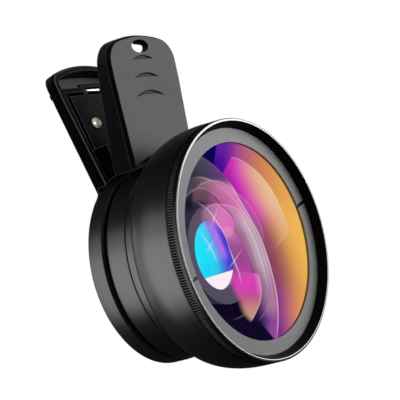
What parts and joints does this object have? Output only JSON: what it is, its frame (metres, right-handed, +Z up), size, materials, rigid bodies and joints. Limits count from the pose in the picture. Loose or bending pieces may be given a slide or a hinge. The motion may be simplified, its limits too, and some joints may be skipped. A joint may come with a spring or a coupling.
{
  "type": "clip on phone lens",
  "caption": "Wide angle and close-up lens for a phone camera, screwed into the ring of a sprung clothes-peg style clip with two handles and a knurled front rim.",
  "frame": {"origin": "on the optical axis, at the rear face of the clip's ring, where the phone lies", "axes": "-Y along the optical axis towards what is pictured, +Z up the clip's handles, +X to the right seen from the front"},
  "size_m": [0.05, 0.0378, 0.0716],
  "materials": {
    "handle_plastic": "fine matte black",
    "grip_rubber": "matte black",
    "pin_steel": "drawn",
    "spring_steel": "bright drawn wire",
    "cover_plastic": "matte black",
    "screw_nickel": "warm nickel",
    "barrel_black": "satin black anodised",
    "rim_black": "satin black anodised with a polished edge",
    "ring_grey": "fine satin grey",
    "inner_black": "matte black",
    "seal_rubber": "matte black",
    "coated_glass": "polished, multicolour coating",
    "plain_glass": "polished, blue coating"
  },
  "bodies": {
    "clip_front": {"front_arm": "handle_plastic", "front_pad": "grip_rubber"},
    "clip_rear": {"rear_arm": "handle_plastic", "rear_pad": "grip_rubber", "hinge_pin": "pin_steel", "torsion_spring": "spring_steel", "spring_cover": "cover_plastic", "cover_screw_1": "screw_nickel", "cover_screw_2": "screw_nickel"},
    "close_up_glass": {"close_up_lens": "plain_glass"},
    "close_up_unit": {"close_up_barrel": "barrel_black", "close_up_retaining_ring": "inner_black"},
    "wide_glass": {"front_lens": "coated_glass", "inner_lens": "plain_glass"},
    "wide_unit": {"wide_barrel": "barrel_black", "grip_ring": "rim_black", "front_retaining_ring": "ring_grey", "front_seal": "seal_rubber", "light_baffle": "inner_black", "inner_retaining_ring": "inner_black"}
  },
  "joints": [
    {"name": "clip_hinge", "type": "hinge", "parent": "clip_front", "child": "clip_rear", "pos_m": [0, -0.0017, 0.0215], "axis": [1, 0, 0], "range_deg": [0, 24], "stiffness_Nm_per_rad": 0.3, "springref_deg": -17.19, "deforming": ["torsion_spring"]},
    {"name": "close_up_advance", "type": "slide", "parent": "clip_front", "child": "close_up_glass", "axis": [0, -1, 0], "range_m": [0, 0.00234]},
    {"name": "close_up_unscrew", "type": "hinge", "parent": "close_up_glass", "child": "close_up_unit", "pos_m": [0, 0, 0], "axis": [0, -1, 0], "range_deg": [0, 1125]},
    {"name": "wide_advance", "type": "slide", "parent": "close_up_unit", "child": "wide_glass", "axis": [0, -1, 0], "range_m": [0, 0.00309]},
    {"name": "wide_unscrew", "type": "hinge", "parent": "wide_glass", "child": "wide_unit", "pos_m": [0, 0, 0], "axis": [0, -1, 0], "range_deg": [0, 1485]}
  ],
  "couplings": [
    {"joint": "close_up_advance", "follows": "close_up_unscrew", "m_per_rad": 0.00011937},
    {"joint": "wide_advance", "follows": "wide_unscrew", "m_per_rad": 0.00011937}
  ]
}
